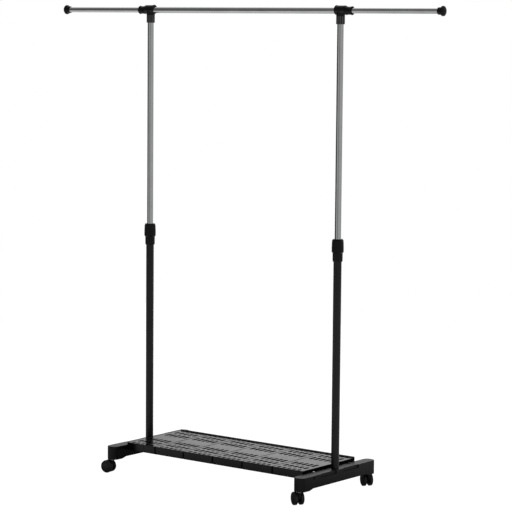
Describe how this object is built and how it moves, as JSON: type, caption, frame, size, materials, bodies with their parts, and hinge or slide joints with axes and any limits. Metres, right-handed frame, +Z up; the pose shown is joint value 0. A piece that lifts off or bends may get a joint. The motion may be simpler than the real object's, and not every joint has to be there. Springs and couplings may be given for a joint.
{
  "type": "garment rail",
  "caption": "Rolling garment rail: telescopic black and chrome uprights, pull-out hanging rail, slatted shoe shelf between base bars on twin-wheel casters.",
  "frame": {"origin": "on the floor midway between the two uprights", "axes": "+Z up, +X along the hanging rail, the front of the rail faces -Y"},
  "size_m": [1.69, 0.4643, 1.6908],
  "materials": {
    "black_plastic": "satin moulded black",
    "shelf_plastic": "satin moulded black, fine grain",
    "caster_plastic": "moulded nylon black",
    "wheel_plastic": "moulded nylon black",
    "clear_nylon": "natural nylon",
    "black_tube": "black powder coat",
    "chrome_tube": "polished chrome plate",
    "steel_screw": "zinc plated"
  },
  "bodies": {
    "frame": {"base_bar_left": "black_plastic", "foot_plug_left": "black_plastic", "lower_tube_left": "black_tube", "collar_body_left": "black_plastic", "collar_collet_left": "clear_nylon", "base_bar_right": "black_plastic", "foot_plug_right": "black_plastic", "lower_tube_right": "black_tube", "collar_body_right": "black_plastic", "collar_collet_right": "clear_nylon", "foot_bolts": "steel_screw", "shelf_screws": "steel_screw", "caster_sleeves": "black_plastic", "cross_tube_front": "black_tube", "cross_tube_rear": "black_tube", "shelf_plate_1": "shelf_plastic", "shelf_plate_2": "shelf_plastic", "shelf_plate_3": "shelf_plastic", "shelf_plate_4": "shelf_plastic", "shelf_plate_5": "shelf_plastic", "shelf_plate_6": "shelf_plastic", "caster_stem_front_left": "steel_screw", "caster_stem_rear_left": "steel_screw", "caster_stem_front_right": "steel_screw", "caster_stem_rear_right": "steel_screw"},
    "rail_frame": {"rail_tube": "chrome_tube", "upper_tube_left": "chrome_tube", "slide_bush_left": "clear_nylon", "tee_left": "black_plastic", "upper_tube_right": "chrome_tube", "slide_bush_right": "clear_nylon", "tee_right": "black_plastic"},
    "height_lock_left": {"collar_nut_left": "black_plastic"},
    "rail_lock_left": {"rail_lock_nut_left": "black_plastic"},
    "rod_left": {"extension_rod_left": "chrome_tube", "rod_bush_left": "clear_nylon", "end_knob_left": "black_plastic"},
    "height_lock_right": {"collar_nut_right": "black_plastic"},
    "rail_lock_right": {"rail_lock_nut_right": "black_plastic"},
    "rod_right": {"extension_rod_right": "chrome_tube", "rod_bush_right": "clear_nylon", "end_knob_right": "black_plastic"},
    "caster_front_left": {"caster_body_front_left": "caster_plastic", "caster_axle_front_left": "steel_screw"},
    "wheel_a_front_left": {"caster_wheel_a_front_left": "wheel_plastic"},
    "wheel_b_front_left": {"caster_wheel_b_front_left": "wheel_plastic"},
    "caster_rear_left": {"caster_body_rear_left": "caster_plastic", "caster_axle_rear_left": "steel_screw"},
    "wheel_a_rear_left": {"caster_wheel_a_rear_left": "wheel_plastic"},
    "wheel_b_rear_left": {"caster_wheel_b_rear_left": "wheel_plastic"},
    "caster_front_right": {"caster_body_front_right": "caster_plastic", "caster_axle_front_right": "steel_screw"},
    "wheel_a_front_right": {"caster_wheel_a_front_right": "wheel_plastic"},
    "wheel_b_front_right": {"caster_wheel_b_front_right": "wheel_plastic"},
    "caster_rear_right": {"caster_body_rear_right": "caster_plastic", "caster_axle_rear_right": "steel_screw"},
    "wheel_a_rear_right": {"caster_wheel_a_rear_right": "wheel_plastic"},
    "wheel_b_rear_right": {"caster_wheel_b_rear_right": "wheel_plastic"}
  },
  "joints": [
    {"name": "height_slide", "type": "slide", "parent": "frame", "child": "rail_frame", "axis": [0, 0, 1], "range_m": [-0.7, 0.025]},
    {"name": "height_lock_left_twist", "type": "hinge", "parent": "frame", "child": "height_lock_left", "pos_m": [-0.425, 0, 0.87], "axis": [0, 0, 1], "range_deg": [0, 120]},
    {"name": "rail_lock_left_twist", "type": "hinge", "parent": "rail_frame", "child": "rail_lock_left", "pos_m": [-0.461, 0, 1.672], "axis": [-1, 0, 0], "range_deg": [0, 120]},
    {"name": "rod_left_slide", "type": "slide", "parent": "rail_frame", "child": "rod_left", "axis": [-1, 0, 0], "range_m": [-0.34, 0.03]},
    {"name": "height_lock_right_twist", "type": "hinge", "parent": "frame", "child": "height_lock_right", "pos_m": [0.425, 0, 0.87], "axis": [0, 0, 1], "range_deg": [0, 120]},
    {"name": "rail_lock_right_twist", "type": "hinge", "parent": "rail_frame", "child": "rail_lock_right", "pos_m": [0.461, 0, 1.672], "axis": [1, 0, 0], "range_deg": [0, 120]},
    {"name": "rod_right_slide", "type": "slide", "parent": "rail_frame", "child": "rod_right", "axis": [1, 0, 0], "range_m": [-0.34, 0.03]},
    {"name": "caster_front_left_swivel", "type": "hinge", "parent": "frame", "child": "caster_front_left", "pos_m": [-0.425, -0.202, 0.046], "axis": [0, 0, 1], "continuous": true},
    {"name": "wheel_a_front_left_spin", "type": "hinge", "parent": "caster_front_left", "child": "wheel_a_front_left", "pos_m": [-0.44273, -0.20513, 0.023], "axis": [0.1736, -0.9848, 0], "continuous": true},
    {"name": "wheel_b_front_left_spin", "type": "hinge", "parent": "caster_front_left", "child": "wheel_b_front_left", "pos_m": [-0.44273, -0.20513, 0.023], "axis": [0.1736, -0.9848, 0], "continuous": true},
    {"name": "caster_rear_left_swivel", "type": "hinge", "parent": "frame", "child": "caster_rear_left", "pos_m": [-0.425, 0.202, 0.046], "axis": [0, 0, 1], "continuous": true},
    {"name": "wheel_a_rear_left_spin", "type": "hinge", "parent": "caster_rear_left", "child": "wheel_a_rear_left", "pos_m": [-0.44246, 0.20636, 0.023], "axis": [-0.2419, -0.9703, 0], "continuous": true},
    {"name": "wheel_b_rear_left_spin", "type": "hinge", "parent": "caster_rear_left", "child": "wheel_b_rear_left", "pos_m": [-0.44246, 0.20636, 0.023], "axis": [-0.2419, -0.9703, 0], "continuous": true},
    {"name": "caster_front_right_swivel", "type": "hinge", "parent": "frame", "child": "caster_front_right", "pos_m": [0.425, -0.202, 0.046], "axis": [0, 0, 1], "continuous": true},
    {"name": "wheel_a_front_right_spin", "type": "hinge", "parent": "caster_front_right", "child": "wheel_a_front_right", "pos_m": [0.40957, -0.19273, 0.023], "axis": [-0.515, -0.8572, 0], "continuous": true},
    {"name": "wheel_b_front_right_spin", "type": "hinge", "parent": "caster_front_right", "child": "wheel_b_front_right", "pos_m": [0.40957, -0.19273, 0.023], "axis": [-0.515, -0.8572, 0], "continuous": true},
    {"name": "caster_rear_right_swivel", "type": "hinge", "parent": "frame", "child": "caster_rear_right", "pos_m": [0.425, 0.202, 0.046], "axis": [0, 0, 1], "continuous": true},
    {"name": "wheel_a_rear_right_spin", "type": "hinge", "parent": "caster_rear_right", "child": "wheel_a_rear_right", "pos_m": [0.4099, 0.2118, 0.023], "axis": [-0.5446, -0.8387, 0], "continuous": true},
    {"name": "wheel_b_rear_right_spin", "type": "hinge", "parent": "caster_rear_right", "child": "wheel_b_rear_right", "pos_m": [0.4099, 0.2118, 0.023], "axis": [-0.5446, -0.8387, 0], "continuous": true}
  ]
}
